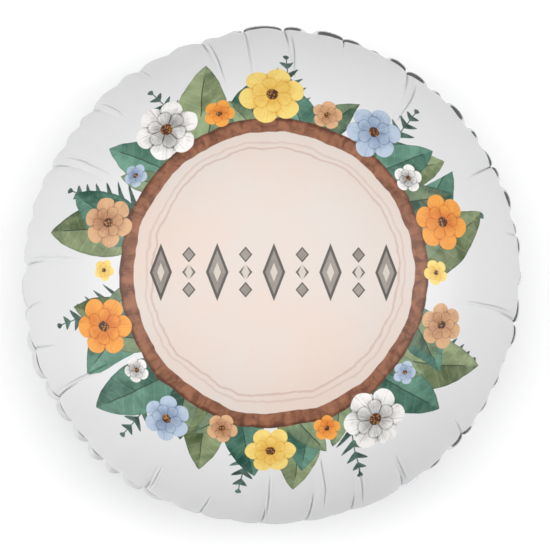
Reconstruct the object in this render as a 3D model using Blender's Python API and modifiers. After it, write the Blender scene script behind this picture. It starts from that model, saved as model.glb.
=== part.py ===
"""Round foil balloon, inflated, lying on its back with its printed face up.

Two flat foil discs are heat-sealed together round their edge and filled with gas. The foil
can't stretch, so the edge draws in and gathers in tucks. The filling neck is folded behind
the balloon, against the back foil.

Metres, +Z up and out of the printed face, +Y towards the top of the picture. The origin is
the middle of the flat spot that the balloon rests on.
"""

import math
import random
from collections import namedtuple
from functools import lru_cache

import bmesh
import bpy
import numpy as np

# The foil discs
FLAT_DIAMETER = 0.450
SEAM_WIDTH = 0.0052
SEAM_HALF_THICKNESS = 0.0005
PANEL_GAP = 0.0003
REST_RADIUS = 0.040
CROWN_RADIUS = 0.012

# Tucks that gather the edge: a broad hollow with a sharp fold in it
TUCK_PITCH = 0.0185
TUCK_DEPTH = 0.0016
TUCK_REACH = 0.012
TUCK_HALF_WIDTH = 0.0045
TUCK_UNEVENNESS = 0.2
TUCK_DEPTH_SHARES = (0.6, 1.3)
TUCK_REACH_SHARES = (0.8, 1.8)
LONG_TUCK_REACH = 0.004
LONG_TUCK_SHARES = (1.0, 2.0, 6.0)
BROAD_SHARE = 0.55
BROAD_WIDTH = 0.0050
BROAD_SPREAD = 0.05
BROAD_FADE = 1.6
SHARP_SHARE = 0.50
SHARP_WIDTH = 0.0010
SHARP_SPREAD = 0.008
SHARP_FADE = 0.7
OVERHANG = 0.0034
OVERHANG_REACH = 0.0050
SEAM_WAVE = 0.0030
SEAM_WAVE_REACH = 0.016
LEAN_REACH = 0.060

# The sealed band outside the seam is folded back: degrees from level at some azimuths, what a
# tuck of the back foil adds, and what a crease of the front foil leaves of it at most
STEEPEST_FOLD = 76
BAND_FOLDS = (
    (30, 38), (75, 40), (100, 46), (115, 64), (150, 64), (172, 46), (225, 42),
    (240, 58), (252, STEEPEST_FOLD), (296, STEEPEST_FOLD), (310, 62), (330, 50), (355, 44),
)
BAND_TUCK_FOLD = 16
BAND_CREASE_FOLD = 44
BAND_FOLD_STEP = 2
BAND_CLEARANCE = 0.0002

# The filling neck, between two long creases, and the valve film that shows at its mouth
NECK_SIDES = (267.4, 277.2)
NECK_ROOT_WIDTH = 0.031
NECK_WIDTH = 0.027
NECK_END = 0.082
NECK_THICKNESS = 0.0009
NECK_CLEARANCE = 0.0006
NECK_SETTLE = 0.008
TIE_START = 0.030
TIE_LENGTH = 0.020
VALVE_WIDTH = 0.018
VALVE_LENGTH = 0.009
VALVE_THICKNESS = 0.0005

# How finely the solids follow their curves, and from what angle an edge of theirs is sharp
STEP_PLACES = (0.0, 0.25, 0.75)
RING_SHARES = (0.68, 0.52, 0.37, 0.25, 0.155, 0.085, 0.045, 0.018)
NECK_STEP = 0.006
SECTION_STEPS = 4000
SHARP_EDGE = 40

Crease = namedtuple("Crease", "azimuth lean depth reach")
Tuck = namedtuple("Tuck", "azimuth front_depth front_reach back_depth back_reach lift")

# The long creases of the printed face: azimuth and lean in degrees, depth in metres, and
# how far in from the seam each shows from the front, in metres
CREASES = (
    Crease(9.8, 0.0, 0.0026, 0.012),
    Crease(26.8, -0.5, 0.0034, 0.024),
    Crease(56.7, -5.0, 0.0044, 0.044),
    Crease(73.1, 0.0, 0.0024, 0.010),
    Crease(87.3, -2.4, 0.0036, 0.040),
    Crease(96.7, 0.0, 0.0022, 0.040),
    Crease(107.7, -3.1, 0.0040, 0.038),
    Crease(123.5, -1.3, 0.0028, 0.014),
    Crease(137.8, -4.0, 0.0034, 0.024),
    Crease(154.1, -4.3, 0.0036, 0.042),
    Crease(177.9, -1.9, 0.0030, 0.041),
    Crease(187.3, 0.0, 0.0022, 0.012),
    Crease(197.5, 0.0, 0.0024, 0.015),
    Crease(210.0, -1.6, 0.0044, 0.052),
    Crease(238.6, 1.7, 0.0034, 0.020),
    Crease(253.5, 0.0, 0.0026, 0.014),
    Crease(NECK_SIDES[0], 1.0, 0.0042, 0.034),
    Crease(NECK_SIDES[1], 5.9, 0.0044, 0.056),
    Crease(288.3, 4.7, 0.0036, 0.032),
    Crease(301.5, 2.1, 0.0032, 0.024),
    Crease(320.6, 0.0, 0.0026, 0.014),
    Crease(349.3, 2.4, 0.0040, 0.044),
)


def film_section(seam_radius):
    """Distance from the seam, radius, height over the seam and slope, from seam to middle.

    A gathered foil disc under pressure takes the curve whose slope has the sine
    (radius / seam_radius) ** 2.
    """
    share = np.linspace(1.0, 0.0, SECTION_STEPS + 1)
    slope = np.pi / 2 * share**2
    radius = seam_radius * np.sqrt(np.sin(slope))
    middle = (share[1:] + share[:-1]) / 2
    reach = np.sqrt(np.sin(np.pi / 2 * middle**2))
    along = seam_radius * np.pi * middle / (2 * reach) * -np.diff(share)
    distance = np.concatenate([[0.0], np.cumsum(along)])
    height = np.concatenate([[0.0], np.cumsum(reach**2 * along)])
    return distance, radius, height, slope


def seam_radius():
    """The radius at which a film of the disc's own length runs from the seam to the middle."""
    unit_length = film_section(1.0)[0][-1]
    return (FLAT_DIAMETER / 2 - SEAM_WIDTH) / unit_length


SEAM_RADIUS = seam_radius()
DISTANCE, RADIUS, HEIGHT, SLOPE = film_section(SEAM_RADIUS)
FILM_LENGTH = DISTANCE[-1]
TURN = 2 * math.pi


def at_radius(radius):
    """The distance from the seam at which a film has a radius."""
    return float(np.interp(-radius, -RADIUS, DISTANCE))


REST_DISTANCE = at_radius(REST_RADIUS)
CROWN_DISTANCE = at_radius(CROWN_RADIUS)
SEAM_HEIGHT = float(np.interp(REST_DISTANCE, DISTANCE, HEIGHT))


def seam_tucks():
    """The tucks round the seam: the long creases, with small ones at an uneven pitch between.

    A crease gathers both foils and lifts the seam. A small tuck draws the seam in and down,
    and the front foil bulges over it.
    """
    chance = random.Random(18)
    pitch = math.degrees(TUCK_PITCH / SEAM_RADIUS)
    tucks = []
    for here, after in zip(CREASES, CREASES[1:] + CREASES[:1]):
        gap = (after.azimuth - here.azimuth) % 360
        count = 1 if here.azimuth == NECK_SIDES[0] else max(1, round(gap / pitch))
        reach = at_radius(SEAM_RADIUS - here.reach)
        tucks.append(Tuck(here.azimuth, here.depth, reach, TUCK_DEPTH, TUCK_REACH, 1.0))
        for number in range(1, count):
            place = number + chance.uniform(-TUCK_UNEVENNESS, TUCK_UNEVENNESS)
            azimuth = here.azimuth + gap * place / count
            depth = TUCK_DEPTH * chance.uniform(*TUCK_DEPTH_SHARES)
            near = TUCK_REACH * chance.uniform(*TUCK_REACH_SHARES)
            far = at_radius(SEAM_RADIUS - LONG_TUCK_REACH * chance.choice(LONG_TUCK_SHARES))
            tucks.append(Tuck(azimuth, depth, near, depth + OVERHANG, far, -1.0))
    return tucks


TUCKS = seam_tucks()
TUCK_AZIMUTHS = np.radians([tuck.azimuth for tuck in TUCKS])
TUCK_LIFTS = np.array([tuck.lift for tuck in TUCKS])
FRONT_DEPTHS = np.array([tuck.front_depth for tuck in TUCKS])
BACK_DEPTHS = np.array([tuck.back_depth for tuck in TUCKS])
SEAM_DEPTHS = np.maximum(FRONT_DEPTHS, BACK_DEPTHS)
FRONT_REACHES = np.array([tuck.front_reach for tuck in TUCKS])
BACK_REACHES = np.array([tuck.back_reach for tuck in TUCKS])
STEPS = len(TUCKS) * len(STEP_PLACES)


def from_tucks(azimuth):
    """The angle from each tuck to an azimuth, the short way round."""
    return np.abs((azimuth - TUCK_AZIMUTHS + math.pi) % TURN - math.pi)


def pinch(azimuth, distance, front):
    """How far the tucks draw one film in, at a distance from the seam."""
    depth = FRONT_DEPTHS if front else BACK_DEPTHS
    left = np.clip(1 - distance / (FRONT_REACHES if front else BACK_REACHES), 0, 1)
    hidden = (SEAM_DEPTHS - depth) * math.exp(-((distance / OVERHANG_REACH) ** 2))
    aside = from_tucks(azimuth) * float(np.interp(distance, DISTANCE, RADIUS))
    broad = BROAD_SHARE * np.exp(-aside / (BROAD_WIDTH + BROAD_SPREAD * distance))
    sharp = SHARP_SHARE * np.exp(-aside / (SHARP_WIDTH + SHARP_SPREAD * distance))
    drawn = (depth * left**BROAD_FADE + hidden) * broad + (depth * left**SHARP_FADE + hidden) * sharp
    return float(np.sum(drawn))


def seam_lift(azimuth):
    """How far the seam is up or down its wave, as a share of SEAM_WAVE."""
    aside = from_tucks(azimuth) * SEAM_RADIUS / TUCK_HALF_WIDTH
    return float(np.sum(TUCK_LIFTS * np.exp(-(aside**2))))


def lean(azimuth, distance):
    """How far a crease has turned from its own azimuth, at a distance from the seam."""
    azimuths = [math.radians(crease.azimuth) for crease in CREASES]
    leans = [crease.lean for crease in CREASES]
    turn = float(np.interp(azimuth, azimuths, leans, period=TURN))
    return math.radians(turn) * min(1.0, distance / LEAN_REACH)


def band_clears(azimuth, fold):
    """Whether the sealed band, folded back this far, stays off the back film."""
    root = SEAM_RADIUS - pinch(azimuth, 0.0, False) - SEAM_HALF_THICKNESS * math.sin(fold)
    for out in (SEAM_WIDTH / 2, SEAM_WIDTH):
        down = out * math.sin(fold)
        film = float(np.interp(down, DISTANCE, RADIUS)) - pinch(azimuth, down, False)
        if root + out * math.cos(fold) < film + BAND_CLEARANCE:
            return False
    return True


@lru_cache(maxsize=None)
def band_fold(azimuth):
    """How far the sealed band is folded back from level, in radians."""
    azimuths = [math.radians(at) for at, _ in BAND_FOLDS]
    folds = [fold for _, fold in BAND_FOLDS]
    base = float(np.interp(azimuth, azimuths, folds, period=TURN))
    lift = max(-1.0, min(1.0, seam_lift(azimuth)))
    if lift < 0:
        fold = min(base - BAND_TUCK_FOLD * lift, max(base, STEEPEST_FOLD))
    else:
        fold = base + (min(base, BAND_CREASE_FOLD) - base) * lift
    while not band_clears(azimuth, math.radians(fold)) and fold > BAND_FOLD_STEP:
        fold -= BAND_FOLD_STEP
    return math.radians(fold)


def film_point(azimuth, distance, front):
    """Where a point of one film lies once the edge is gathered."""
    slope = float(np.interp(distance, DISTANCE, SLOPE))
    drawn_in = pinch(azimuth, distance, front)
    lift = SEAM_WAVE * seam_lift(azimuth) * math.exp(-((distance / SEAM_WAVE_REACH) ** 2))
    radius = float(np.interp(distance, DISTANCE, RADIUS)) - drawn_in * math.sin(slope)
    height = float(np.interp(distance, DISTANCE, HEIGHT)) - drawn_in * math.cos(slope)
    turned = azimuth + (lean(azimuth, distance) if front else 0.0)
    height = SEAM_HEIGHT + lift + (height if front else -height)
    return radius * math.cos(turned), radius * math.sin(turned), height


def band_point(azimuth, out, over):
    """A point of the sealed band, at a distance out from the seam and over its middle surface."""
    fold = band_fold(azimuth)
    radius = SEAM_RADIUS - pinch(azimuth, 0.0, True) + out * math.cos(fold) + over * math.sin(fold)
    height = SEAM_HEIGHT + SEAM_WAVE * seam_lift(azimuth) - out * math.sin(fold) + over * math.cos(fold)
    return radius * math.cos(azimuth), radius * math.sin(azimuth), height


def step_azimuth(step):
    """The azimuth of one of the solid's steps: every tuck has one, with others close beside it."""
    number, part = divmod(step % STEPS, len(STEP_PLACES))
    here = TUCKS[number].azimuth
    gap = (TUCKS[(number + 1) % len(TUCKS)].azimuth - here) % 360
    return math.radians(here + gap * STEP_PLACES[part])


def material(name, colour, roughness, metallic, alpha=1.0):
    made = bpy.data.materials.new(name)
    made.use_nodes = True
    shader = made.node_tree.nodes["Principled BSDF"]
    shader.inputs["Base Color"].default_value = (*colour, 1.0)
    shader.inputs["Roughness"].default_value = roughness
    shader.inputs["Metallic"].default_value = metallic
    shader.inputs["Alpha"].default_value = alpha
    return made


def turned_mesh(obj, steps):
    """The object's profile, turned a full circle about Z."""
    turn = obj.modifiers.new("Turn", "SCREW")
    turn.steps = turn.render_steps = steps
    turn.use_merge_vertices = True
    turn.merge_threshold = 0.0001
    bpy.context.view_layer.update()
    graph = bpy.context.evaluated_depsgraph_get()
    turned = bpy.data.meshes.new_from_object(obj.evaluated_get(graph))
    obj.modifiers.clear()
    return turned


def panel_section(front):
    """The section of one foil's solid before it is gathered, from its middle outwards.

    It runs down the film to the seam, out and back along the sealed band, and to the middle of
    the face where the two solids meet inside the balloon.
    """
    last = CROWN_DISTANCE if front else REST_DISTANCE
    distances = [last, *(share * FILM_LENGTH for share in RING_SHARES)]
    radii = np.interp(distances, DISTANCE, RADIUS)
    section = [(float(r), float(h)) for r, h in zip(radii, np.interp(distances, DISTANCE, HEIGHT))]
    band_edge = SEAM_RADIUS + SEAM_WIDTH
    section += [(SEAM_RADIUS, SEAM_HALF_THICKNESS), (band_edge, SEAM_HALF_THICKNESS)]
    section += [(band_edge, PANEL_GAP / 2), (SEAM_RADIUS, PANEL_GAP / 2)]
    return distances, [(0.0, section[0][1]), *section, (0.0, PANEL_GAP / 2)]


def foil_panel(name, front, collection, finish):
    """One foil and the gas behind it: its section turned about Z, then gathered at the tucks."""
    side = 1 if front else -1
    distances, section = panel_section(front)
    band = [(0.0, SEAM_HALF_THICKNESS), (SEAM_WIDTH, SEAM_HALF_THICKNESS)]
    band += [(SEAM_WIDTH, PANEL_GAP / 2), (0.0, PANEL_GAP / 2)]
    downward = section if front else [(radius, -height) for radius, height in section[::-1]]
    edges = [(index, index + 1) for index in range(len(section) - 1)]
    mesh = bpy.data.meshes.new("section")
    mesh.from_pydata([(radius, 0.0, height) for radius, height in downward], edges, [])
    obj = bpy.data.objects.new(name, mesh)
    collection.objects.link(obj)
    obj.data = turned_mesh(obj, STEPS)
    obj.data.name = name
    bpy.data.meshes.remove(mesh)

    places = []
    for vertex in obj.data.vertices:
        radius, height = math.hypot(vertex.co.x, vertex.co.y), side * vertex.co.z
        away = [math.hypot(radius - r, height - z) for r, z in section]
        row = away.index(min(away))
        step = round(math.atan2(vertex.co.y, vertex.co.x) * STEPS / TURN) % STEPS
        places.append((row, step))
        if row in (0, len(section) - 1):
            vertex.co.z += SEAM_HEIGHT
        elif row <= len(distances):
            vertex.co = film_point(step_azimuth(step), distances[row - 1], front)
        else:
            out, over = band[row - 1 - len(distances)]
            vertex.co = band_point(step_azimuth(step), out, side * over)
    split_quads(obj.data, places)
    obj.data.materials.append(finish)
    obj.data.shade_smooth()
    obj.data.set_sharp_from_angle(angle=math.radians(SHARP_EDGE))
    return obj


def split_quads(mesh, places):
    """Every quad is split the same way on both foils, so that their band faces stay parallel."""
    work = bmesh.new()
    work.from_mesh(mesh)
    for face in [face for face in work.faces if len(face.verts) == 4]:
        steps = sorted({places[vert.index][1] for vert in face.verts})
        first = steps[1] if steps[1] - steps[0] > 1 else steps[0]
        here = [vert for vert in face.verts if places[vert.index][1] == first]
        there = [vert for vert in face.verts if places[vert.index][1] != first]
        start = min(here, key=lambda vert: places[vert.index][0])
        end = max(there, key=lambda vert: places[vert.index][0])
        bmesh.utils.face_split(face, start, end)
    work.to_mesh(mesh)
    work.free()


NECK_FOLD = band_fold(math.radians(sum(NECK_SIDES) / 2))


def neck_station(distance):
    """Where the folded neck's middle surface lies: radius and height at a distance from the seam."""
    near = NECK_CLEARANCE + NECK_THICKNESS / 2
    start = SEAM_WIDTH * math.cos(NECK_FOLD)
    stand_off = near + (start - near) * math.exp(-distance / NECK_SETTLE)
    slope = float(np.interp(distance, DISTANCE, SLOPE))
    radius = float(np.interp(distance, DISTANCE, RADIUS)) + stand_off * math.sin(slope)
    height = float(np.interp(distance, DISTANCE, HEIGHT)) + stand_off * math.cos(slope)
    return radius, SEAM_HEIGHT - height


def strip(name, distances, widths, thickness, collection, finish):
    """A flat strip that lies along the back foil under the neck's azimuth."""
    bpy.ops.mesh.primitive_grid_add(x_subdivisions=1, y_subdivisions=len(distances) - 1, size=2)
    obj = bpy.context.object
    obj.name = obj.data.name = name
    for owner in obj.users_collection:
        owner.objects.unlink(obj)
    collection.objects.link(obj)
    rows = len(distances) - 1
    for vertex in obj.data.vertices:
        row = round((vertex.co.y + 1) / 2 * rows)
        radius, height = neck_station(distances[row])
        side = math.copysign(widths[row] / 2, vertex.co.x)
        vertex.co = (radius, side, height)
    wall = obj.modifiers.new("Wall", "SOLIDIFY")
    wall.thickness = thickness
    wall.offset = 0.0
    wall.use_even_offset = True
    obj.rotation_euler.z = math.radians(sum(NECK_SIDES) / 2)
    obj.data.materials.append(finish)
    return obj


def neck_distances():
    """Stations along the neck, from under the sealed band, with one straight stretch to tie it by."""
    start = SEAM_WIDTH * math.sin(NECK_FOLD) + SEAM_HALF_THICKNESS + PANEL_GAP
    tie_end = TIE_START + TIE_LENGTH
    before = np.linspace(start, TIE_START, 2 + round((TIE_START - start) / NECK_STEP))
    beyond = np.linspace(tie_end, NECK_END, 2 + round((NECK_END - tie_end) / NECK_STEP))
    return [float(d) for d in [*before, *beyond]]


def filling_neck(collection, finish):
    distances = neck_distances()
    taper = [math.exp(-(d - distances[0]) / NECK_SETTLE) for d in distances]
    widths = [NECK_WIDTH + (NECK_ROOT_WIDTH - NECK_WIDTH) * share for share in taper]
    return strip("filling_neck", distances, widths, NECK_THICKNESS, collection, finish)


def valve_film(collection, finish):
    start = NECK_END + PANEL_GAP
    distances = [start, start + VALVE_LENGTH / 2, start + VALVE_LENGTH]
    return strip("valve_film", distances, [VALVE_WIDTH] * 3, VALVE_THICKNESS, collection, finish)


def build():
    for obj in list(bpy.data.objects):
        bpy.data.objects.remove(obj)
    collection = bpy.data.collections.new("foil_balloon")
    bpy.context.scene.collection.children.link(collection)
    white = material("printed_white_foil", (0.84, 0.84, 0.84), 0.35, 0.0)
    silver = material("silver_foil", (0.82, 0.83, 0.85), 0.22, 1.0)
    clear = material("clear_valve_film", (0.80, 0.83, 0.86), 0.30, 0.0, 0.55)
    foil_panel("front_foil", True, collection, white)
    foil_panel("back_foil", False, collection, silver)
    filling_neck(collection, silver)
    valve_film(collection, clear)


build()
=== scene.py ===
import math
import random

import bpy
import numpy as np
from mathutils import Color, Matrix, Vector, noise


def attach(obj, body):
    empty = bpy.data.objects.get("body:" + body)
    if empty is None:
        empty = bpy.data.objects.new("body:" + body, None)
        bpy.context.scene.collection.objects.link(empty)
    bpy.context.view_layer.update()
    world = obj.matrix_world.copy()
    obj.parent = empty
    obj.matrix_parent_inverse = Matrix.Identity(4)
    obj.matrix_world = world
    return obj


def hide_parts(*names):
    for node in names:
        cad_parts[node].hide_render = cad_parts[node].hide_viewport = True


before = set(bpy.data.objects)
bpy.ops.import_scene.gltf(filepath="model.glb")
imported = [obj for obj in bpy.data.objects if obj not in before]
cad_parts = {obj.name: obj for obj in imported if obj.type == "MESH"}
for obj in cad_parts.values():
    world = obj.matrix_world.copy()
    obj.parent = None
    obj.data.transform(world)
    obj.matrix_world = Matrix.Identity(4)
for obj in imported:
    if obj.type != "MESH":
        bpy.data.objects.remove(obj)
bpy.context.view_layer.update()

# The front foil is a disc of thin metallized film with gas behind it, printed white with a wreath.
# It can't stretch, so once filled it draws in round the edge, in tucks and long creases. It is laid
# out here as a strip, as wide as the way round and as long as the way in, and rolled to shape.
FLAT_DIAMETER = 0.450
SEAM_WIDTH = 0.0052
BAND_THICKNESS = 0.00016
REST_RADIUS = 0.040
SECTION_STEPS = 4000
TURN = 2 * math.pi


def film_section(seam_radius):
    share = np.linspace(1.0, 0.0, SECTION_STEPS + 1)
    slope = np.pi / 2 * share**2
    radius = seam_radius * np.sqrt(np.sin(slope))
    middle = (share[1:] + share[:-1]) / 2
    reach = np.sqrt(np.sin(np.pi / 2 * middle**2))
    along = seam_radius * np.pi * middle / (2 * reach) * -np.diff(share)
    distance = np.concatenate([[0.0], np.cumsum(along)])
    height = np.concatenate([[0.0], np.cumsum(reach**2 * along)])
    return distance, radius, height, slope


seam_radius = (FLAT_DIAMETER / 2 - SEAM_WIDTH) / film_section(1.0)[0][-1]
DISTANCE, RADIUS, HEIGHT, SLOPE = film_section(seam_radius)
film_length = DISTANCE[-1]


def at_radius(radius):
    return float(np.interp(-radius, -RADIUS, DISTANCE))


seam_height = float(np.interp(at_radius(REST_RADIUS), DISTANCE, HEIGHT))

# tucks: the long creases stand where the photo has them, with short tucks spread between
NECK_SIDES = (267.4, 277.2)
NECK_CREASE_DEPTH = 0.0022
CREASES = (
    # azimuth and lean in degrees, depth and reach seen from the front in metres
    (9.8, 0.0, 0.0026, 0.012),
    (26.8, -0.5, 0.0034, 0.024),
    (56.7, -5.0, 0.0044, 0.044),
    (73.1, 0.0, 0.0024, 0.010),
    (87.3, -2.4, 0.0036, 0.040),
    (96.7, 0.0, 0.0022, 0.040),
    (107.7, -3.1, 0.0040, 0.038),
    (123.5, -1.3, 0.0028, 0.014),
    (137.8, -4.0, 0.0034, 0.024),
    (154.1, -4.3, 0.0036, 0.042),
    (177.9, -1.9, 0.0030, 0.041),
    (187.3, 0.0, 0.0022, 0.012),
    (197.5, 0.0, 0.0024, 0.015),
    (210.0, -1.6, 0.0044, 0.052),
    (238.6, 1.7, 0.0034, 0.020),
    (253.5, 0.0, 0.0026, 0.014),
    (NECK_SIDES[0], 1.0, 0.0042, 0.034),
    (NECK_SIDES[1], 5.9, 0.0044, 0.056),
    (288.3, 4.7, 0.0036, 0.032),
    (301.5, 2.1, 0.0032, 0.024),
    (320.6, 0.0, 0.0026, 0.014),
    (349.3, 2.4, 0.0040, 0.044),
)
TUCK_PITCH = 0.0185
TUCK_UNEVENNESS = 0.2
TUCK_DEPTH = 0.0016
TUCK_DEPTH_SHARES = (0.6, 1.3)
TUCK_REACH = 0.012
TUCK_REACH_SHARES = (0.8, 1.8)
LONG_TUCK_REACH = 0.004
LONG_TUCK_SHARES = (1.0, 2.0, 6.0)
LOPSIDED_SHARES = (0.55, 1.6)
OVERHANG = 0.0044

chance = random.Random(18)
tucks = []
for here, after in zip(CREASES, CREASES[1:] + CREASES[:1]):
    azimuth, _, depth, reach = here
    gap = (after[0] - azimuth) % 360
    count = 1 if azimuth == NECK_SIDES[0] else max(1, round(math.radians(gap) * seam_radius / TUCK_PITCH))
    if azimuth in NECK_SIDES:
        depth = NECK_CREASE_DEPTH
    tucks.append((azimuth, depth, at_radius(seam_radius - reach), TUCK_DEPTH, TUCK_REACH, 1.0))
    for number in range(1, count):
        place = azimuth + gap * (number + chance.uniform(-TUCK_UNEVENNESS, TUCK_UNEVENNESS)) / count
        depth = TUCK_DEPTH * chance.uniform(*TUCK_DEPTH_SHARES)
        near = TUCK_REACH * chance.uniform(*TUCK_REACH_SHARES)
        far = at_radius(seam_radius - LONG_TUCK_REACH * chance.choice(LONG_TUCK_SHARES))
        tucks.append((place, depth, near, depth + OVERHANG, far, -1.0))
tuck_azimuth, front_depth, front_reach, back_depth, back_reach, tuck_lift = np.array(tucks).T
tuck_azimuth = np.radians(tuck_azimuth)
seam_depth = np.maximum(front_depth, back_depth)
lopsided = np.array([chance.choice(LOPSIDED_SHARES) for _ in tucks])
kink = np.array([chance.uniform(-1.0, 1.0) for _ in tucks])


def around(azimuth, values, at=tuck_azimuth):
    return np.interp(azimuth, at, values, period=TURN)


def from_table(azimuth, table):
    at, values = np.array(table).T
    return around(azimuth, values, np.radians(at))


def apart(azimuth, other):
    return (azimuth - other + math.pi) % TURN - math.pi


# fold lines: the thin sharp line along each crease, with a small lip on both sides of it
LINE_DEPTH = 0.0026
FULL_LINE_CREASE = 0.0040
LINE_HALF_WIDTH = 0.00055
LINE_START = -0.006
LINE_EDGE_REACH = 0.0015
LINE_TAPER = 0.8
GROOVE_ROUNDNESS = 1.2
LIP_SHARE = 0.22
LIP_PLACE = 2.2
STRAIGHT_LEAN = 1
LEAN_SHARE = 0.5
FIRST_LINE_TO = 0.55
SECOND_LINE_FROM = 0.35
SECOND_LINE_DEPTH = 0.8

lines = []
for azimuth, lean, depth, reach in CREASES:
    azimuth, length = math.radians(azimuth), at_radius(seam_radius - reach)
    strength = LINE_DEPTH * min(1.0, depth / FULL_LINE_CREASE)
    if abs(lean) < STRAIGHT_LEAN:
        lines.append((azimuth, LINE_START, length, strength))
    else:
        aside = math.radians(lean) * LEAN_SHARE
        lines.append((azimuth, LINE_START, FIRST_LINE_TO * length, strength))
        lines.append((azimuth + aside, SECOND_LINE_FROM * length, length, SECOND_LINE_DEPTH * strength))
line_azimuth, line_from, line_to, line_depth = np.array(lines).T


def fold_lines(azimuth, distance):
    along = np.clip((distance - line_from) / (line_to - line_from), 0, 1)
    deep = line_depth * np.sin(math.pi * along) ** LINE_TAPER
    aside = np.abs(apart(azimuth[:, None], line_azimuth))
    aside = aside * float(np.interp(distance, DISTANCE, RADIUS)) / LINE_HALF_WIDTH
    groove = np.clip(1 - aside, 0, 1) ** GROOVE_ROUNDNESS
    lip = LIP_SHARE * np.exp(-((aside - LIP_PLACE) ** 2))
    return (deep * (groove - lip)).sum(axis=1)


# the edge: it rises at a crease, dips at a tuck, and bulges in rounded lobes between them
TUCK_HALF_WIDTH = 0.0045
SEAM_WAVE = 0.0030
SEAM_WAVE_REACH = 0.016
SEAM_COVERS = (
    # azimuth, and how far the front film bulges past the seam there, in metres
    (0, 0.0010), (12, 0.0004), (95, 0.0004), (108, 0.0015), (190, 0.0015), (202, 0.0006), (235, 0.0006),
    (250, 0.0018), (262, 0.0020), (268, 0.0032), (277, 0.0032), (283, 0.0020), (300, 0.0018),
    (318, 0.0011), (332, 0.0008), (345, 0.0007), (352, 0.0010),
)
LOBES = (
    # azimuth, and how deep the notches between the rounded lobes of the edge are, in metres
    (5, 0.0004), (95, 0.0005), (108, 0.0028), (150, 0.0028), (185, 0.0018), (200, 0.0006), (240, 0.0010),
    (262, 0.0002), (300, 0.0), (325, 0.0006),
)
LOBE_REACH = 0.018
OVERHANG_REACH = 0.0050
NECK_RECESS = 0.0020
NECK_RECESS_REACH = 0.034
PINCH_PARTS = (
    # share of a tuck's depth, taper along the film, half width at the seam in metres, and spread
    (0.55, 1.2, 0.0055, 0.07),
    (0.50, 0.7, 0.0010, 0.008),
)
neck_azimuth = math.radians(sum(NECK_SIDES) / 2)
neck_half_angle = neck_azimuth - math.radians(NECK_SIDES[0])


def seam_lift(azimuth):
    aside = apart(azimuth[:, None], tuck_azimuth) * seam_radius / TUCK_HALF_WIDTH
    return (tuck_lift * np.exp(-(aside**2))).sum(axis=1)


def lobes(azimuth):
    notches = (tuck_azimuth - tuck_azimuth[0]) % TURN
    inside = (azimuth - tuck_azimuth[0]) % TURN
    lobe = np.searchsorted(notches, inside, side="right") - 1
    share = (inside - notches[lobe]) / np.diff(np.append(notches, TURN))[lobe]
    return from_table(azimuth, LOBES) * (1 - np.sin(math.pi * share))


def pinch(azimuth, distance, front):
    distance = np.reshape(distance, (-1, 1))
    depth, reach = (front_depth, front_reach) if front else (back_depth, back_reach)
    left = np.clip(1 - distance / reach, 0, 1)
    tucked_in = np.exp(-((distance / OVERHANG_REACH) ** 2))
    hidden = (seam_depth - depth) * tucked_in
    aside = apart(azimuth[:, None], tuck_azimuth) * np.interp(distance, DISTANCE, RADIUS)
    aside = np.where(aside > 0, aside, -aside * lopsided)
    drawn_in = 0
    for share, taper, half_width, spread in PINCH_PARTS:
        fall = np.exp(-aside / (half_width + spread * distance))
        drawn_in = drawn_in + (depth * left**taper + hidden) * share * fall
    from_seam = distance.ravel()
    rounded = lobes(azimuth) * np.exp(-((from_seam / LOBE_REACH) ** 2))
    if not front:
        from_neck = apart(azimuth, neck_azimuth) / neck_half_angle
        rounded = rounded + NECK_RECESS * np.exp(-(from_neck**4) - (from_seam / NECK_RECESS_REACH) ** 4)
    return drawn_in.sum(axis=1) + from_table(azimuth, SEAM_COVERS) * tucked_in.ravel() + rounded


# creases wander: each bends a little one way and back, and those of the front lean as in the photo
KINK = 0.0016
KINK_WAVES = 1.5
LEAN_REACH = 0.060
SMALLEST_RADIUS = 0.03


def crease_turn(azimuth, distance, front):
    reach = front_reach if front else back_reach
    bent = kink * KINK * np.sin(np.clip(distance / reach, 0, 1) * math.pi * KINK_WAVES)
    turn = around(azimuth, bent) / max(SMALLEST_RADIUS, float(np.interp(distance, DISTANCE, RADIUS)))
    if front:
        lean = from_table(azimuth, [crease[:2] for crease in CREASES])
        turn = turn + np.radians(lean) * LEAN_SHARE * min(1.0, distance / LEAN_REACH)
    return turn


# ripples: the loose film waves near the edge, and only a fine unevenness is left in the middle
EDGE_GRAIN = 0.00020
MIDDLE_GRAIN = 0.00004
GRAIN_WAVES = (95, 18)
RIPPLES = (
    # height in metres, waves a metre round the edge and along the film
    (0.0018, 26, 9),
    (0.0006, 90, 14),
)
RIPPLE_REACH = 0.060
RIPPLE_START = 0.004


def rough(azimuth, radius, distance, across, along):
    x, y = radius * math.cos(azimuth), radius * math.sin(azimuth)
    return noise.noise(Vector((x * across, y * across, distance * along)))


def ripple(azimuth, distance):
    radius = float(np.interp(distance, DISTANCE, RADIUS))
    fade = math.exp(-((distance / RIPPLE_REACH) ** 2))
    grain = EDGE_GRAIN * fade + MIDDLE_GRAIN
    heights = []
    for a in azimuth:
        height = grain * rough(a, radius, distance, *GRAIN_WAVES)
        for depth, across, along in RIPPLES:
            height += depth * fade * rough(a, seam_radius, distance, across, along)
        heights.append(height)
    return np.array(heights)


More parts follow.
